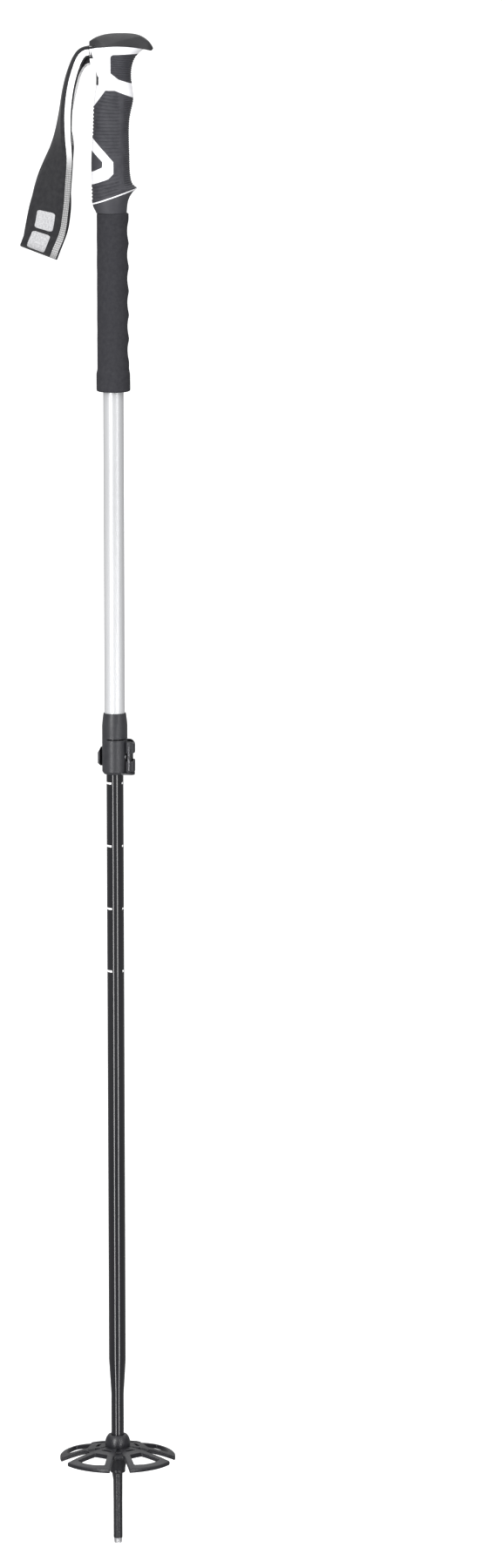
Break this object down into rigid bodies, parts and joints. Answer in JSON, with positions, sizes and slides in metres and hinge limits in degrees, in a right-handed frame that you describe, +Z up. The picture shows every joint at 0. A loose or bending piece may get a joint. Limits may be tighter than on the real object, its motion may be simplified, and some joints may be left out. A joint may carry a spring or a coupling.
{
  "type": "ski pole",
  "caption": "Adjustable two-section ski pole with a beaked grip, wrist strap, foam extension grip, cam-lever clamp and powder basket.",
  "frame": {"origin": "the tip's point on the shaft's axis, where the pole meets the ground", "axes": "+Z up along the shaft to the grip, +X forwards, the way the grip's beak points, and the strap hangs on the -X side"},
  "size_m": [0.1183, 0.0917, 1.2012],
  "materials": {
    "white_plastic": "satin moulded white",
    "ribbed_rubber": "matte, fine moulded ribs",
    "smooth_rubber": "matte smooth",
    "cap_rubber": "soft matte",
    "foam": "matte closed-cell foam",
    "silver_tube": "fine satin anodised",
    "black_tube": "gloss black anodised with white length marks",
    "clamp_plastic": "satin moulded",
    "steel": "plated",
    "black_steel": "blackened steel",
    "inner_plastic": "moulded",
    "webbing": "woven, with a white and silver edge stripe",
    "ferrule_plastic": "satin moulded",
    "tip_metal": "ground carbide",
    "basket_plastic": "satin moulded"
  },
  "bodies": {
    "handle": {"grip_core": "white_plastic", "grip_thumb_pad": "ribbed_rubber", "grip_palm_pad": "ribbed_rubber", "grip_rear_pad": "smooth_rubber", "grip_trim_ring": "white_plastic", "grip_collar": "smooth_rubber", "grip_cap": "cap_rubber", "shaft_plug": "inner_plastic", "foam_grip": "foam", "upper_shaft": "silver_tube", "clamp_body": "clamp_plastic", "plate_peg": "steel", "cam_plate": "black_steel", "screw_washer": "steel"},
    "wedge": {"strap_wedge": "inner_plastic", "strap_ends": "webbing", "strap_tail": "webbing"},
    "strap": {"strap_loop": "webbing"},
    "screw": {"tension_screw": "steel"},
    "trunnion": {"barrel_nut": "black_steel"},
    "lever": {"clamp_lever": "clamp_plastic"},
    "lower_section": {"lower_shaft": "black_tube", "guide_bush": "inner_plastic", "bush_ring": "smooth_rubber", "ferrule": "ferrule_plastic", "carbide_tip": "tip_metal"},
    "basket": {"basket_hub": "basket_plastic", "basket_petals": "basket_plastic", "basket_lock_ring": "basket_plastic"}
  },
  "joints": [
    {"name": "length_adjust", "type": "slide", "parent": "handle", "child": "lower_section", "axis": [0, 0, -1], "range_m": [-0.15, 0.25]},
    {"name": "lever_open", "type": "hinge", "parent": "trunnion", "child": "lever", "pos_m": [0.011, -0.0067, 0.636], "axis": [0, 0, -1], "range_deg": [0, 150]},
    {"name": "tension_screw_turn", "type": "hinge", "parent": "handle", "child": "screw", "pos_m": [0.011, 0, 0.636], "axis": [0, 1, 0], "range_deg": [0, 1082]},
    {"name": "trunnion_travel", "type": "slide", "parent": "handle", "child": "trunnion", "axis": [0, -1, 0], "range_m": [0, 0.0012]},
    {"name": "strap_wedge_release", "type": "slide", "parent": "handle", "child": "wedge", "axis": [-1, 0, 0], "range_m": [0, 0.006]},
    {"name": "strap_swing", "type": "hinge", "parent": "wedge", "child": "strap", "pos_m": [-0.0174, 0, 1.1918], "axis": [0, 1, 0], "range_deg": [0, 75]},
    {"name": "basket_pull_off", "type": "slide", "parent": "lower_section", "child": "basket", "axis": [0, 0, -1], "range_m": [0, 0.1]}
  ],
  "couplings": [
    {"joint": "tension_screw_turn", "follows": "trunnion_travel", "rad_per_m": 15708}
  ]
}
